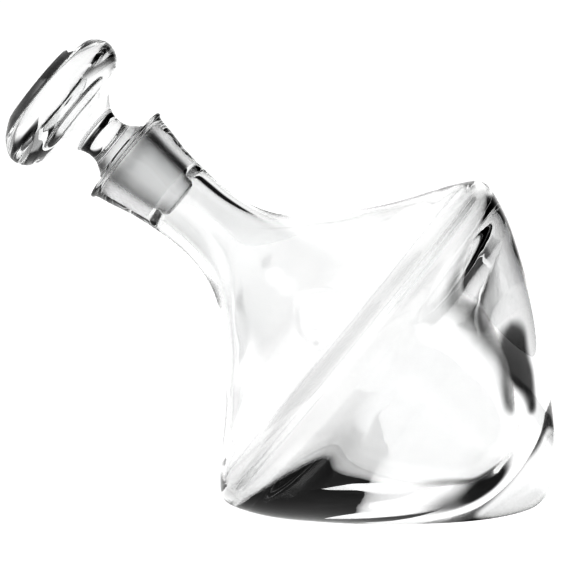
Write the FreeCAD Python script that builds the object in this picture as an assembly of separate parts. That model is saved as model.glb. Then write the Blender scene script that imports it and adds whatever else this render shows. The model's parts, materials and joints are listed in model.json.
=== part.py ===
"""Tilted wine decanter: a thick-based blown glass vessel and its solid ground glass stopper.

Vessel and stopper are bodies of revolution about one slanted neck axis. The vessel lies on
its conical side, where a small polished flat keeps it from rolling. It is one piece of
glass, drawn as three solids that meet on planes across the axis: neck, shoulder and base.

Row frame: millimetres, +Z up, origin at the centre of the resting flat. The neck axis lies
in the XZ plane: the mouth points up and towards -X, the heavy tip points down and to +X.

Profiles are drawn as (r, s): r is the distance from the neck axis, and s runs along the
axis from the rim of the mouth (s = 0) towards the tip. The stopper's knob has negative s.
"""
import FreeCAD
import Part
import math
import os

# ---- driving dimensions (mm, degrees) ------------------------------------------------
AXIS_TILT = 39.1          # slope of the neck axis below the horizontal
FLAT_DEPTH = 1.0          # how much glass the polished resting flat takes off

# vessel, outside
GIRDLE_R = 93.1           # widest radius, where shoulder and base meet
GIRDLE_S = 135.8
TIP_S = 247.0             # outside of the thick tip
TIP_R = 18.0              # radius of the tip's spherical cap
TIP_ARC = 32.0            # half-angle of that cap
LIP_R = 24.3              # out-turned lip
LIP_EDGE = 1.0            # radius of the lip's rounded edge
NECK_R = 16.9             # slimmest part of the neck
NECK_S = 45.5

# vessel, inside
SEAT_TOP_R = 13.5         # ground seat: tapered bore that the stopper's plug fits
SEAT_END_R = 10.9
SEAT_LENGTH = 26.0
MOUTH_CHAMFER = 0.5
BORE_R = 12.6             # bore of the slim neck, below the seat
BORE_TOP_S = 33.0
BULB_R = 89.0             # widest radius of the hollow
BULB_S = 136.8
HOLLOW_S = 219.3          # bottom of the hollow; all glass from there to the tip
NECK_END_S = 69.2         # the neck's solid ends here, and the shoulder's starts

# stopper
SEAT_GAP = 0.06           # running clearance between the ground plug and its seat
PLUG_END_R = 8.3          # flat end of the plug
PLUG_END_S = 32.5
COLLAR_R = 15.0           # small collar above the rim of the mouth
COLLAR_S = -1.9
COLLAR_GAP = 0.6          # the collar stays off the rim, so that the taper seats first
WAIST_R = 10.2            # slimmest part of the stopper
WAIST_S = -11.4
KNOB_R = 34.4             # lens-shaped knob
KNOB_S = -37.3
FACE_R = 20.5             # flat outer face of the knob
FACE_S = -50.1

AXIS = FreeCAD.Vector(0, 0, 1)
ORIGIN = FreeCAD.Vector(0, 0, 0)


# ---- profile drawing -----------------------------------------------------------------
def point(r, s):
    return FreeCAD.Vector(r, 0, s)


def line(start, end):
    return Part.LineSegment(point(*start), point(*end)).toShape()


def arc(start, middle, end):
    return Part.Arc(point(*start), point(*middle), point(*end)).toShape()


def curve(points, start_way, end_way):
    """One smooth curve through the points, with a given direction at each end."""
    spline = Part.BSplineCurve()
    spline.interpolate(
        Points=[point(*p) for p in points],
        InitialTangent=point(*start_way),
        FinalTangent=point(*end_way),
    )
    return spline.toShape()


def revolve(edges):
    """Solid of revolution of a closed (r, s) outline about the neck axis."""
    face = Part.Face(Part.Wire(edges))
    return face.revolve(ORIGIN, AXIS, 360)


def on_tip(angle):
    """Point of the tip's cap at an angle from the neck axis."""
    turn = math.radians(angle)
    return (TIP_R * math.sin(turn), TIP_S - TIP_R * (1 - math.cos(turn)))


# ---- vessel --------------------------------------------------------------------------
def lip():
    """Flat rim, then the half-round edge of the out-turned lip."""
    inner = LIP_R - LIP_EDGE
    return [
        line((0, 0), (inner, 0)),
        arc((inner, 0), (LIP_R, LIP_EDGE), (inner, 2 * LIP_EDGE)),
    ]


def neck_and_shoulder():
    """From under the lip, down the slim neck and out over the shoulder to the girdle."""
    neck = [
        (LIP_R - LIP_EDGE, 2 * LIP_EDGE), (22.1, 6.4), (19.7, 17.3), (17.8, 30.0), (NECK_R, NECK_S),
    ]
    shoulder = [
        (NECK_R, NECK_S), (18.3, 58.2), (21.9, 69.2), (28.9, 80.0), (39.8, 91.0), (51.6, 101.9),
        (65.8, 112.8), (82.4, 123.8), (89.3, 129.3), (92.2, 132.3), (GIRDLE_R, GIRDLE_S),
    ]
    return [
        curve(neck, (-0.6, 1.0), (0, 1)),
        curve(shoulder, (0, 1), (0, 1)),
    ]


def base_cone():
    """Convex side of the base, from the girdle to the rounded tip."""
    cap_start = on_tip(TIP_ARC)
    cap_way = math.radians(TIP_ARC)
    side = [
        (GIRDLE_R, GIRDLE_S), (91.5, 142.8), (86.6, 153.8), (76.3, 170.2),
        (60.5, 192.0), (42.2, 213.9), (26.8, 230.2), cap_start,
    ]
    return [
        curve(side, (0, 1), (-math.cos(cap_way), math.sin(cap_way))),
        arc(cap_start, on_tip(TIP_ARC / 2), (0, TIP_S)),
    ]


def outer_solid():
    edges = lip() + neck_and_shoulder() + base_cone() + [line((0, TIP_S), (0, 0))]
    return revolve(edges)


def seat_radius(s):
    """Radius of the plug's ground taper at s; the seat is larger by the running gap."""
    return SEAT_TOP_R + (SEAT_END_R - SEAT_TOP_R) * s / SEAT_LENGTH


def hollow_solid():
    """Mouth chamfer, ground seat, neck bore and the tear-shaped hollow for the wine."""
    mouth_r = seat_radius(MOUTH_CHAMFER) + SEAT_GAP
    seat_r = SEAT_END_R + SEAT_GAP
    bulb_top = [
        (BORE_R, BORE_TOP_S), (BORE_R, NECK_S), (14.4, 58.2), (18.6, 69.2), (25.9, 80.0),
        (36.5, 91.0), (48.3, 101.9), (61.2, 112.8), (77.1, 123.8), (85.2, 130.0), (BULB_R, BULB_S),
    ]
    bulb_base = [
        (BULB_R, BULB_S), (87.9, 141.0), (84.7, 146.0), (75.4, 156.0), (59.4, 172.0),
        (47.1, 185.0), (35.8, 197.0), (25.5, 207.0), (16.7, 214.2), (0, HOLLOW_S),
    ]
    return revolve([
        line((0, 0), (mouth_r + MOUTH_CHAMFER, 0)),
        line((mouth_r + MOUTH_CHAMFER, 0), (mouth_r, MOUTH_CHAMFER)),
        line((mouth_r, MOUTH_CHAMFER), (seat_r, SEAT_LENGTH)),
        curve([(seat_r, SEAT_LENGTH), (BORE_R, BORE_TOP_S)], (0, 1), (0, 1)),
        curve(bulb_top, (0, 1), (0, 1)),
        curve(bulb_base, (0, 1), (-1, 0)),
        line((0, HOLLOW_S), (0, 0)),
    ])


# ---- stopper -------------------------------------------------------------------------
def stopper_solid():
    """Lens-shaped knob, slim waist, small collar and the ground tapered plug."""
    collar_end = -COLLAR_GAP
    knob_top = [(FACE_R, FACE_S), (25.5, -47.9), (29.9, -45.1), (33.1, -41.2), (KNOB_R, KNOB_S)]
    knob_back = [
        (KNOB_R, KNOB_S), (32.4, -31.2), (29.3, -28.4), (20.9, -25.0),
        (15.2, -20.7), (11.7, -16.9), (WAIST_R, WAIST_S),
    ]
    collar_top = [(WAIST_R, WAIST_S), (10.9, -7.3), (12.9, -4.0), (COLLAR_R, COLLAR_S)]
    return revolve([
        line((0, FACE_S), (FACE_R, FACE_S)),
        curve(knob_top, (1, 0.2), (0, 1)),
        curve(knob_back, (0, 1), (0, 1)),
        curve(collar_top, (0, 1), (1, 0.7)),
        line((COLLAR_R, COLLAR_S), (COLLAR_R, collar_end)),
        line((COLLAR_R, collar_end), (seat_radius(collar_end), collar_end)),
        line((seat_radius(collar_end), collar_end), (SEAT_END_R, SEAT_LENGTH)),
        arc((SEAT_END_R, SEAT_LENGTH), (10.1, 29.7), (PLUG_END_R, PLUG_END_S)),
        line((PLUG_END_R, PLUG_END_S), (0, PLUG_END_S)),
        line((0, PLUG_END_S), (0, FACE_S)),
    ])


# ---- placing -------------------------------------------------------------------------
def span(start, end):
    """Block round the neck axis between two distances from the rim."""
    wide = 3 * GIRDLE_R
    return Part.makeBox(wide, wide, end - start, FreeCAD.Vector(-wide / 2, -wide / 2, start))


def tilted(shape):
    """Turns the neck axis from +Z to its slope: the tip down and towards +X."""
    turned = shape.copy()
    turned.rotate(ORIGIN, FreeCAD.Vector(0, 1, 0), 90 + AXIS_TILT)
    return turned


def lowest_z(shape):
    """Height of the lowest point of a curved shape, from its distance to a plane below."""
    below = 1000.0
    floor = Part.makePlane(2 * below, 2 * below, FreeCAD.Vector(-below, -below, -below))
    return shape.distToShape(floor)[0] - below


def build():
    """Vessel and stopper, with the vessel standing on its polished flat at z = 0."""
    outside = tilted(outer_solid())
    hollow = tilted(hollow_solid())
    stopper = tilted(stopper_solid())
    flat_z = lowest_z(outside) + FLAT_DEPTH
    reach = 2 * TIP_S
    corner = FreeCAD.Vector(-reach, -reach, flat_z - reach)
    ground_off = Part.makeBox(2 * reach, 2 * reach, reach, corner)
    vessel = outside.cut(ground_off).cut(hollow)
    flat = min(vessel.Faces, key=lambda face: face.CenterOfMass.z)
    to_origin = FreeCAD.Vector(-flat.CenterOfMass.x, 0, -flat_z)
    pieces = {
        "decanter_neck": vessel.common(tilted(span(-LIP_R, NECK_END_S))),
        "decanter_shoulder": vessel.common(tilted(span(NECK_END_S, GIRDLE_S))),
        "decanter_base": vessel.common(tilted(span(GIRDLE_S, TIP_S + LIP_R))),
        "stopper": stopper,
    }
    for shape in pieces.values():
        shape.translate(to_origin)
    return pieces, hollow


def main():
    os.makedirs("parts", exist_ok=True)
    pieces, hollow = build()
    for name, shape in pieces.items():
        solid = shape.Solids[0]
        print(name, "solids", len(shape.Solids), "valid", solid.isValid(), "cm3", round(solid.Volume / 1000, 1))
        solid.exportStep("parts/" + name + ".step")
    print("hollow cm3", round(hollow.Volume / 1000, 1))


main()
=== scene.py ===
"""Looks of the tilted crystal decanter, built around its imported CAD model. Metres, +Z up."""
import bpy
import bmesh
import json
import math
import numpy as np
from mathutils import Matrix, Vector

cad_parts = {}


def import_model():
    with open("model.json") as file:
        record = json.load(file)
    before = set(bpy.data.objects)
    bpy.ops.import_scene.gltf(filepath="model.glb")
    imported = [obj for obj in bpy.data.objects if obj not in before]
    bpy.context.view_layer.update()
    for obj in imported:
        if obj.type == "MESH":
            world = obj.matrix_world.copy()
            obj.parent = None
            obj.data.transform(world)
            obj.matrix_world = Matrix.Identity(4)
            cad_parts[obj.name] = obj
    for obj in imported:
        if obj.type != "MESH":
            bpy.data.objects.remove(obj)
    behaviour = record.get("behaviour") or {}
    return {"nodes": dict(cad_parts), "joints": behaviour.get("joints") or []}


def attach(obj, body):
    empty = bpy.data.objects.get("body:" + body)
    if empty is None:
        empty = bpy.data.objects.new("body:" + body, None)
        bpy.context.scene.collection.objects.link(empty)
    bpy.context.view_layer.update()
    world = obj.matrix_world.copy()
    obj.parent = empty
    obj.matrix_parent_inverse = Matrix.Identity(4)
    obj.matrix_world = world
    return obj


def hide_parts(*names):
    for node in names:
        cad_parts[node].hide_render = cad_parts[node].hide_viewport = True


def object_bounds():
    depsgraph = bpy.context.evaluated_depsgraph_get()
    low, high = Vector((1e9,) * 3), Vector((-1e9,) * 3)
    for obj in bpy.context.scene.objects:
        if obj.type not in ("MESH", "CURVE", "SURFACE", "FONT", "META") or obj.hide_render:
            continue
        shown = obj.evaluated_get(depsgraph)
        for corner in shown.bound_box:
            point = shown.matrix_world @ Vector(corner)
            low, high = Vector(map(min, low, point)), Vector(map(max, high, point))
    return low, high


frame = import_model()
cad_low, cad_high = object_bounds()

# ---- the neck axis, from the CAD model ------------------------------------------------
MM = 0.001
OUTWARD = Vector(frame["joints"][0]["axis"]).normalized()
TO_TIP = -OUTWARD
SIDE = Vector((0, 1, 0))
ABOVE = SIDE.cross(TO_TIP)


def reach(node, way):
    """How far a CAD node reaches along a direction: its least and greatest distance."""
    far = [vertex.co.dot(way) for vertex in frame["nodes"][node].data.vertices]
    return min(far), max(far)


RIM_S = reach("decanter_neck", TO_TIP)[0]
AXIS_ABOVE = sum(reach("stopper", ABOVE)) / 2
MOUTH = TO_TIP * RIM_S + ABOVE * AXIS_ABOVE

# ---- sizes of the two glass pieces, in millimetres ------------------------------------
# (r, s): r is the distance from the neck axis, s runs along it from the rim to the tip.
SEGMENTS = 200            # facets round the axis
WAVE = 0.0015             # how uneven the blown hollow is, as a part of its radius
RING_STEP = 1.3           # spacing of the rings along a profile

LIP_R = 24.3
LIP_EDGE = 1.0
NECK = (16.9, 45.5)
GIRDLE = (93.1, 135.8)
TIP_S = 247.0
TIP_R = 18.0
TIP_ARC = math.radians(32)

SEAT_TOP_R = 13.5
SEAT_END_R = 10.9
SEAT_END_S = 26.0
SEAT_GAP = 0.06
MOUTH_CHAMFER = 0.5
BORE = (12.6, 33.0)
BULB = (89.0, 136.8)
HOLLOW_END = (0.0, 219.3)

COLLAR = (15.0, -1.9)
COLLAR_GAP = 0.6
COLLAR_EDGE = 0.3
WAIST = (10.2, -11.4)
KNOB = (34.4, -37.3)
KNOB_FACE = (20.5, -50.1)
PLUG_END = (8.3, 32.5)

# ---- finish of the glass --------------------------------------------------------------
CRYSTAL_IOR = 1.52
CLEAR_TINT = (1.0, 1.0, 1.0, 1)
CLOUDY_TINT = (0.985, 0.988, 0.988, 1)
CLOUD_PER_METRE = 14
POLISHED = (0.0, 0.008)   # least and greatest roughness
SATIN = (0.27, 0.38)
STRIAE_PER_METRE = 35
STRIAE_DEPTH = 0.0003     # metres
GRAIN_PER_METRE = 2600
RINGS_SCALE = 320
GRAIN_DEPTH = 0.00002     # metres
RELIEF = 0.3              # strength of the bumps
NOISE_MIDDLE = (0.35, 0.7)  # where most of a noise's values lie

# ---- light of the studio --------------------------------------------------------------
SKY_LIGHT = 0.08          # brightness all round the table, before the lamps and cards below
TABLE_LIGHT = 1.05
TABLE_SHADE = 0.06        # how much of the table's brightness its shadows can take away
GAMMA = 0.5               # of the view: below 1 it raises the contrast
FLOOR_HALF = 30.0         # metres
FLOOR_Z = -0.0003         # just under the resting flat
# In degrees: azimuth from +Y towards +X and elevation of a lamp's middle, angle to which it
# is full, angle at which it is gone, and its strength. A dark card's strength is negative.
SKY = [
    (-28, 12, 39, 52, 1.0),
    (170, -4, 28, 42, 0.45),
    (98, -4, 20, 32, 0.55),
    (80, 60, 30, 48, -1.1),
    (125, 38, 16, 34, -1.1),
    (50, 0, 12, 26, -1.1),
    (-92, 8, 18, 30, -1.0),
]
# In metres: x and y of the middle of a patch of painted shade on the table, radius to which it is full,
# radius at which it is gone, and its strength. The first two are a painted contact shadow under the
# decanter; the others are painted darker stretches of the table. All are seen only in or through the
# glass.
TABLE_PAINTED_SHADE = [
    (0.065, 0.0, 0.015, 0.035, -1.1),
    (0.035, 0.004, 0.004, 0.024, -0.8),
    (0.52, 0.38, 0.22, 0.34, -1.1),
    (-0.22, -0.14, 0.1, 0.24, -0.9),
    (0.0, -0.9, 0.5, 0.8, -0.3),
]


# ---- profiles -------------------------------------------------------------------------
def smooth(points, start_way, end_way):
    """Points along one smooth curve through the given ones: a cubic spline in chord length."""
    knots = np.array(points, float)
    chord = np.linalg.norm(np.diff(knots, axis=0), axis=1)
    count = len(knots)
    system = np.zeros((count, count))
    sides = np.zeros((count, 2))
    for row, (way, index) in {0: (start_way, 0), count - 1: (end_way, -1)}.items():
        system[row, row] = 1
        sides[row] = np.array(way, float) / np.linalg.norm(way)
    for i in range(1, count - 1):
        before, after = chord[i - 1], chord[i]
        system[i, i - 1:i + 2] = after, 2 * (before + after), before
        rise = (knots[i] - knots[i - 1]) / before * after + (knots[i + 1] - knots[i]) / after * before
        sides[i] = 3 * rise
    slopes = np.linalg.solve(system, sides)
    line = [knots[:1]]
    for i, length in enumerate(chord):
        steps = max(1, round(length / RING_STEP))
        t = (np.arange(1, steps + 1) / steps)[:, None]
        line.append(
            (1 + 2 * t) * (1 - t) ** 2 * knots[i] + t * (1 - t) ** 2 * length * slopes[i]
            + t * t * (3 - 2 * t) * knots[i + 1] - t * t * (1 - t) * length * slopes[i + 1]
        )
    return [tuple(p) for p in np.vstack(line)]


def straight(start, end):
    """Points along a straight stretch."""
    length = math.dist(start, end)
    steps = max(1, round(length / RING_STEP))
    return [
        (start[0] + (end[0] - start[0]) * i / steps, start[1] + (end[1] - start[1]) * i / steps)
        for i in range(steps + 1)
    ]


def round_edge(centre, radius, start, end, steps=8):
    """Points along an arc; angles in degrees, 0 pointing away from the axis and 90 to the tip."""
    angles = [math.radians(start + (end - start) * i / steps) for i in range(steps + 1)]
    return [(centre[0] + radius * math.cos(a), centre[1] + radius * math.sin(a)) for a in angles]


def joined(*stretches):
    """One profile from several stretches, with the doubled points where they meet left out."""
    profile = []
    for stretch in stretches:
        profile += [p for p in stretch if not profile or math.dist(p, profile[-1]) > 1e-6]
    return profile


def seat_radius(s):
    """Radius of the plug's ground taper; the seat is larger by the running gap."""
    return SEAT_TOP_R + (SEAT_END_R - SEAT_TOP_R) * s / SEAT_END_S


MOUTH_R = seat_radius(MOUTH_CHAMFER) + SEAT_GAP + MOUTH_CHAMFER


def vessel_outside():
    """Rim, rounded lip, neck, shoulder, girdle, convex base and the tip's round cap."""
    lip_inner = LIP_R - LIP_EDGE
    cap_start = (TIP_R * math.sin(TIP_ARC), TIP_S - TIP_R * (1 - math.cos(TIP_ARC)))
    cap_way = (-math.cos(TIP_ARC), math.sin(TIP_ARC))
    neck = [(lip_inner, 2 * LIP_EDGE), (22.1, 6.4), (19.7, 17.3), (17.8, 30.0), NECK]
    shoulder = [
        NECK, (18.3, 58.2), (21.9, 69.2), (28.9, 80.0), (39.8, 91.0), (51.6, 101.9),
        (65.8, 112.8), (82.4, 123.8), (89.3, 129.3), (92.2, 132.3), GIRDLE,
    ]
    base = [
        GIRDLE, (91.5, 142.8), (86.6, 153.8), (76.3, 170.2), (60.5, 192.0),
        (42.2, 213.9), (26.8, 230.2), cap_start,
    ]
    return joined(
        straight((MOUTH_R, 0), (lip_inner, 0)),
        round_edge((lip_inner, LIP_EDGE), LIP_EDGE, -90, 90),
        smooth(neck, (-0.6, 1), (0, 1)),
        smooth(shoulder, (0, 1), (0, 1)),
        smooth(base, (0, 1), cap_way),
        round_edge((0, TIP_S - TIP_R), TIP_R, 90 - math.degrees(TIP_ARC), 90, 12),
    )


def vessel_seat():
    """The ground taper inside the mouth, with its polished chamfer."""
    return joined(
        straight((MOUTH_R, 0), (MOUTH_R - MOUTH_CHAMFER, MOUTH_CHAMFER)),
        straight((MOUTH_R - MOUTH_CHAMFER, MOUTH_CHAMFER), (SEAT_END_R + SEAT_GAP, SEAT_END_S)),
    )


def vessel_hollow():
    """Bore of the neck, and the tear-shaped hollow down to its rounded bottom."""
    top = [
        BORE, (BORE[0], NECK[1]), (14.4, 58.2), (18.6, 69.2), (25.9, 80.0), (36.5, 91.0),
        (48.3, 101.9), (61.2, 112.8), (77.1, 123.8), (85.2, 130.0), BULB,
    ]
    bottom = [
        BULB, (87.9, 141.0), (84.7, 146.0), (75.4, 156.0), (59.4, 172.0),
        (47.1, 185.0), (35.8, 197.0), (25.5, 207.0), (16.7, 214.2), HOLLOW_END,
    ]
    return joined(
        smooth([(SEAT_END_R + SEAT_GAP, SEAT_END_S), BORE], (0, 1), (0, 1)),
        smooth(top, (0, 1), (0, 1)),
        smooth(bottom, (0, 1), (-1, 0)),
    )


def stopper_knob():
    """Flat face, rounded rim, hollowed back, waist and collar."""
    top = [KNOB_FACE, (25.5, -47.9), (29.9, -45.1), (33.1, -41.2), KNOB]
    back = [KNOB, (32.4, -31.2), (29.3, -28.4), (20.9, -25.0), (15.2, -20.7), (11.7, -16.9), WAIST]
    edge_r = COLLAR[0] - COLLAR_EDGE
    collar = [WAIST, (10.9, -7.3), (12.9, -4.0), (edge_r, COLLAR[1])]
    return joined(
        [(0.0, KNOB_FACE[1])],
        straight((RING_STEP, KNOB_FACE[1]), KNOB_FACE),
        smooth(top, (1, 0.2), (0, 1)),
        smooth(back, (0, 1), (0, 1)),
        smooth(collar, (0, 1), (1, 0.7)),
        round_edge((edge_r, COLLAR[1] + COLLAR_EDGE), COLLAR_EDGE, -60, 0),
        round_edge((edge_r, -COLLAR_GAP - COLLAR_EDGE), COLLAR_EDGE, 0, 90),
        [(seat_radius(-COLLAR_GAP), -COLLAR_GAP)],
    )


def stopper_plug():
    """The ground taper."""
    return straight((seat_radius(-COLLAR_GAP), -COLLAR_GAP), (SEAT_END_R, SEAT_END_S))


def stopper_end():
    """Polished round-over and flat end of the plug."""
    return joined(
        smooth([(SEAT_END_R, SEAT_END_S), (10.1, 29.7), PLUG_END], (-0.05, 1), (-1, 0.7)),
        straight(PLUG_END, (RING_STEP, PLUG_END[1])),
        [(0.0, PLUG_END[1])],
    )


# ---- meshes ---------------------------------------------------------------------------
def place(r, s, angle):
    """A profile's point in the row frame, in metres."""
    out = ABOVE * math.cos(angle) + SIDE * math.sin(angle)
    return MOUTH + (TO_TIP * s + out * r) * MM


def uneven(r, s, angle):
    """Radius of the hollow with the slight unevenness of blown glass, most near its base."""
    grows = min(max((s - 95) / 60, 0), 1) ** 2
    swell = (
        0.5 * math.sin(2 * angle + 0.6 + s / 38) + 0.4 * math.sin(3 * angle - 1.1 - s / 23)
        + 0.3 * math.sin(5 * angle + 2.3 + s / 17) + 0.2 * math.sin(9 * angle + s / 11)
    )
    return r * (1 + WAVE * grows * swell)


def revolve(name, profiles, materials, hollow=()):
    """A closed glass body from profiles joined end to end, one material slot per profile."""
    build = bmesh.new()
    last = None
    for kind, profile in enumerate(profiles):
        bend = uneven if kind in hollow else lambda r, s, angle: r
        for r, s in profile[0 if last is None else 1:]:
            if r < 1e-6:
                ring = [build.verts.new(place(0, s, 0))]
            else:
                angles = [2 * math.pi * i / SEGMENTS for i in range(SEGMENTS)]
                ring = [build.verts.new(place(bend(r, s, angle), s, angle)) for angle in angles]
            for i in range(SEGMENTS if last else 0):
                k = (i + 1) % SEGMENTS
                corners = [
                    last[i % len(last)], ring[i % len(ring)],
                    ring[k % len(ring)], last[k % len(last)],
                ]
                face = build.faces.new(list(dict.fromkeys(corners)))
                face.material_index = kind
                face.smooth = True
            last = ring
    bmesh.ops.recalc_face_normals(build, faces=build.faces)
    rest_flat(build)
    mesh = bpy.data.meshes.new(name)
    build.to_mesh(mesh)
    build.free()
    for material in materials:
        mesh.materials.append(material)
    piece = bpy.data.objects.new(name, mesh)
    bpy.context.scene.collection.objects.link(piece)
    return piece


def rest_flat(build):
    """Grinds off whatever reaches below z = 0, and leaves a sharp-edged flat there."""
    whole = build.verts[:] + build.edges[:] + build.faces[:]
    cut = bmesh.ops.bisect_plane(
        build, geom=whole, plane_co=(0, 0, 0), plane_no=(0, 0, -1), clear_outer=True,
    )
    rim = [part for part in cut["geom_cut"] if isinstance(part, bmesh.types.BMEdge)]
    if rim:
        flat = bmesh.ops.contextual_create(build, geom=rim)["faces"]
        for face in flat:
            face.smooth = False
        for edge in rim:
            edge.smooth = False


# ---- materials ------------------------------------------------------------------------
def math_node(tree, operation, one, two=None, three=None):
    """A Math node fed by values or by other nodes' outputs."""
    node = tree.nodes.new("ShaderNodeMath")
    node.operation = operation
    for socket, value in zip(node.inputs, (one, two, three)):
        if isinstance(value, bpy.types.NodeSocket):
            tree.links.new(value, socket)
        elif value is not None:
            socket.default_value = value
    return node.outputs[0]


def along_neck(tree, stretch):
    """Object coordinates turned so that z runs down the neck axis, and scaled along it."""
    turn = tree.nodes.new("ShaderNodeMapping")
    turn.inputs["Rotation"].default_value = TO_TIP.rotation_difference(Vector((0, 0, 1))).to_euler()
    tree.links.new(tree.nodes.new("ShaderNodeTexCoord").outputs["Object"], turn.inputs["Vector"])
    scale = tree.nodes.new("ShaderNodeVectorMath")
    scale.operation = "MULTIPLY"
    scale.inputs[1].default_value = (1, 1, stretch)
    tree.links.new(turn.outputs["Vector"], scale.inputs[0])
    return scale.outputs["Vector"]


def noise(tree, where, per_metre, detail):
    node = tree.nodes.new("ShaderNodeTexNoise")
    node.inputs["Scale"].default_value = per_metre
    node.inputs["Detail"].default_value = detail
    tree.links.new(where, node.inputs["Vector"])
    return node.outputs["Fac"]


def spread(tree, value, low, high):
    """Maps the middle of a noise's values to a range."""
    node = tree.nodes.new("ShaderNodeMapRange")
    node.inputs["From Min"].default_value = NOISE_MIDDLE[0]
    node.inputs["From Max"].default_value = NOISE_MIDDLE[1]
    node.inputs["To Min"].default_value = low
    node.inputs["To Max"].default_value = high
    tree.links.new(value, node.inputs["Value"])
    return node.outputs["Result"]


def glass(name, relief, depth, rough):
    """Crystal whose tint and polish vary a little, with a relief some metres deep."""
    material = bpy.data.materials.new(name)
    material.use_nodes = True
    tree = material.node_tree
    shader = tree.nodes["Principled BSDF"]
    shader.inputs["IOR"].default_value = CRYSTAL_IOR
    shader.inputs["Transmission Weight"].default_value = 1.0
    cloud = noise(tree, along_neck(tree, 0.5), CLOUD_PER_METRE, 3)
    tint = tree.nodes.new("ShaderNodeMix")
    tint.data_type = "RGBA"
    tint.inputs["A"].default_value = CLEAR_TINT
    tint.inputs["B"].default_value = CLOUDY_TINT
    tree.links.new(spread(tree, cloud, 0, 1), tint.inputs["Factor"])
    tree.links.new(tint.outputs["Result"], shader.inputs["Base Color"])
    tree.links.new(spread(tree, cloud, *rough), shader.inputs["Roughness"])
    bump = tree.nodes.new("ShaderNodeBump")
    bump.inputs["Strength"].default_value = RELIEF
    bump.inputs["Distance"].default_value = depth
    tree.links.new(relief(tree), bump.inputs["Height"])
    tree.links.new(bump.outputs["Normal"], shader.inputs["Normal"])
    return material


def blown(tree):
    """Faint striae drawn out along the neck, as in hand-blown crystal."""
    return noise(tree, along_neck(tree, 0.25), STRIAE_PER_METRE, 2)


def lapped(tree):
    """Fine ground grain, with rings round the axis where the taper was lapped."""
    grain = noise(tree, along_neck(tree, 1), GRAIN_PER_METRE, 2)
    rings = tree.nodes.new("ShaderNodeTexWave")
    rings.bands_direction = "Z"
    rings.inputs["Scale"].default_value = RINGS_SCALE
    rings.inputs["Distortion"].default_value = 2.5
    rings.inputs["Detail"].default_value = 2
    tree.links.new(along_neck(tree, 1), rings.inputs["Vector"])
    return math_node(tree, "MULTIPLY_ADD", rings.outputs["Fac"], 0.6, grain)


clear = glass("clear_crystal", blown, STRIAE_DEPTH, POLISHED)
satin = glass("ground_crystal", lapped, GRAIN_DEPTH, SATIN)

vessel = revolve(
    "vessel_glass",
    [vessel_hollow()[::-1], vessel_seat()[::-1], vessel_outside()],
    [clear, satin, clear],
    hollow=(0,),
)
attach(vessel, "vessel")
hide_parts("decanter_neck", "decanter_shoulder", "decanter_base")

stopper = revolve(
    "stopper_glass",
    [stopper_knob(), stopper_plug(), stopper_end()],
    [clear, satin, clear],
)
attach(stopper, "stopper")
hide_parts("stopper")


# ---- studio ---------------------------------------------------------------------------
# A lit backdrop behind, weaker lamps in front and to the right, and a lit table fill the
# glass with light. Dark cards far round the table, and patches of painted shade on the table (a painted
# contact shadow under the decanter among them), draw its dark lines. The camera itself sees only pale
# studio.
def ease(tree, value, start, end):
    """0 to 1 as the value runs from start to end, with soft ends."""
    node = tree.nodes.new("ShaderNodeMapRange")
    node.interpolation_type = "SMOOTHSTEP"
    node.inputs["From Min"].default_value = start
    node.inputs["From Max"].default_value = end
    tree.links.new(value, node.inputs["Value"])
    return node.outputs["Result"]


def seen_by_camera(tree):
    """1 for what the camera sees straight, and 0 for what it sees in or through the glass."""
    return tree.nodes.new("ShaderNodeLightPath").outputs["Is Camera Ray"]


def lights(tree, where, measure, total, spots):
    """An even light plus soft round spots, each full at one nearness and gone at another."""
    for middle, full, gone, strength in spots:
        near = tree.nodes.new("ShaderNodeVectorMath")
        near.operation = measure
        near.inputs[1].default_value = middle
        tree.links.new(where, near.inputs[0])
        spot = ease(tree, near.outputs["Value"], gone, full)
        total = math_node(tree, "MULTIPLY_ADD", spot, strength, total)
        total = math_node(tree, "MAXIMUM", total, 0.0)
    return total


def world():
    """Lamps and dark cards far round the table."""
    studio = bpy.data.worlds.new("studio")
    studio.use_nodes = True
    bpy.context.scene.world = studio
    tree = studio.node_tree
    spots = []
    for azimuth, elevation, full, gone, strength in SKY:
        az, el = math.radians(azimuth), math.radians(elevation)
        way = (math.sin(az) * math.cos(el), math.cos(az) * math.cos(el), math.sin(el))
        spots.append((way, math.cos(math.radians(full)), math.cos(math.radians(gone)), strength))
    where = tree.nodes.new("ShaderNodeTexCoord").outputs["Generated"]
    light = lights(tree, where, "DOT_PRODUCT", SKY_LIGHT, spots)
    light = math_node(tree, "MAXIMUM", light, seen_by_camera(tree))
    tree.links.new(light, tree.nodes["Background"].inputs["Strength"])
    tree.nodes["Background"].inputs["Color"].default_value = (1, 1, 1, 1)


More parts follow.
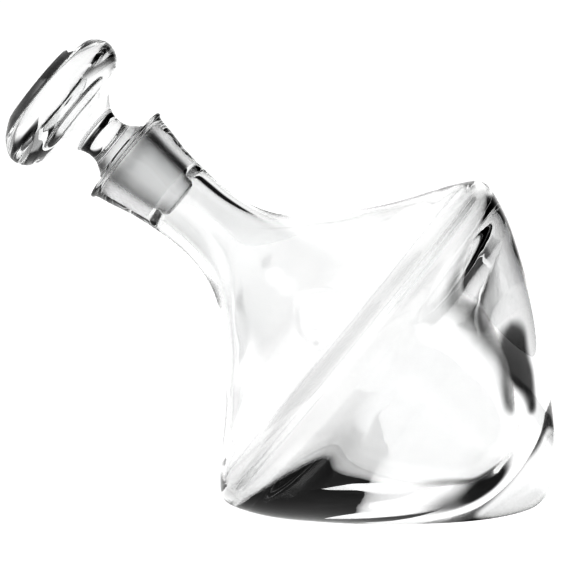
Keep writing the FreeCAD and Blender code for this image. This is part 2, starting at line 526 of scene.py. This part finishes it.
def floor():
    """A pale table top, lit from below like a photographer's light table: plain to the camera, but with
    patches of painted shade, a painted contact shadow under the decanter among them, in what the glass
    shows.
    """
    mesh = bpy.data.meshes.new("floor")
    corners = [(x * FLOOR_HALF, y * FLOOR_HALF, FLOOR_Z) for x, y in ((-1, -1), (1, -1), (1, 1), (-1, 1))]
    mesh.from_pydata(corners, [], [(0, 1, 2, 3)])
    piece = bpy.data.objects.new("floor", mesh)
    bpy.context.scene.collection.objects.link(piece)
    material = bpy.data.materials.new("studio_floor")
    material.use_nodes = True
    tree = material.node_tree
    shader = tree.nodes["Principled BSDF"]
    shader.inputs["Base Color"].default_value = (TABLE_SHADE, TABLE_SHADE, TABLE_SHADE, 1)
    shader.inputs["Roughness"].default_value = 0.9
    # Painted shade: the table's light is cut by dark patches, a painted contact shadow under the decanter
    # and painted darker stretches, seen only in or through the glass.
    spots = [((x, y, FLOOR_Z), full, gone, strength) for x, y, full, gone, strength in TABLE_PAINTED_SHADE]
    where = tree.nodes.new("ShaderNodeTexCoord").outputs["Object"]
    light = lights(tree, where, "DISTANCE", TABLE_LIGHT, spots)
    pale = math_node(tree, "MULTIPLY", seen_by_camera(tree), TABLE_LIGHT)
    light = math_node(tree, "MAXIMUM", light, pale)
    shader.inputs["Emission Color"].default_value = (1, 1, 1, 1)
    tree.links.new(light, shader.inputs["Emission Strength"])
    mesh.materials.append(material)


def camera():
    """Long lens, slightly above the decanter and a little round towards its tip."""
    azimuth, elevation = math.radians(3.3), math.radians(4.0)
    distance, lens = 1.454, 205.0
    centre = (cad_low + cad_high) / 2
    back = Vector((
        math.sin(azimuth) * math.cos(elevation),
        -math.cos(azimuth) * math.cos(elevation),
        math.sin(elevation),
    ))
    data = bpy.data.cameras.new("camera")
    data.lens = lens
    data.sensor_width = 36.0
    data.clip_start = 0.05
    data.clip_end = 50.0
    piece = bpy.data.objects.new("camera", data)
    bpy.context.scene.collection.objects.link(piece)
    piece.location = centre + back * distance
    piece.rotation_mode = "QUATERNION"
    piece.rotation_quaternion = (-back).to_track_quat("-Z", "Y")
    bpy.context.scene.camera = piece


floor()
camera()
world()
bpy.context.scene.view_settings.view_transform = "Standard"
bpy.context.scene.view_settings.gamma = GAMMA
bpy.context.scene.cycles.max_bounces = 24
bpy.context.scene.cycles.transmission_bounces = 24
bpy.context.scene.cycles.glossy_bounces = 12
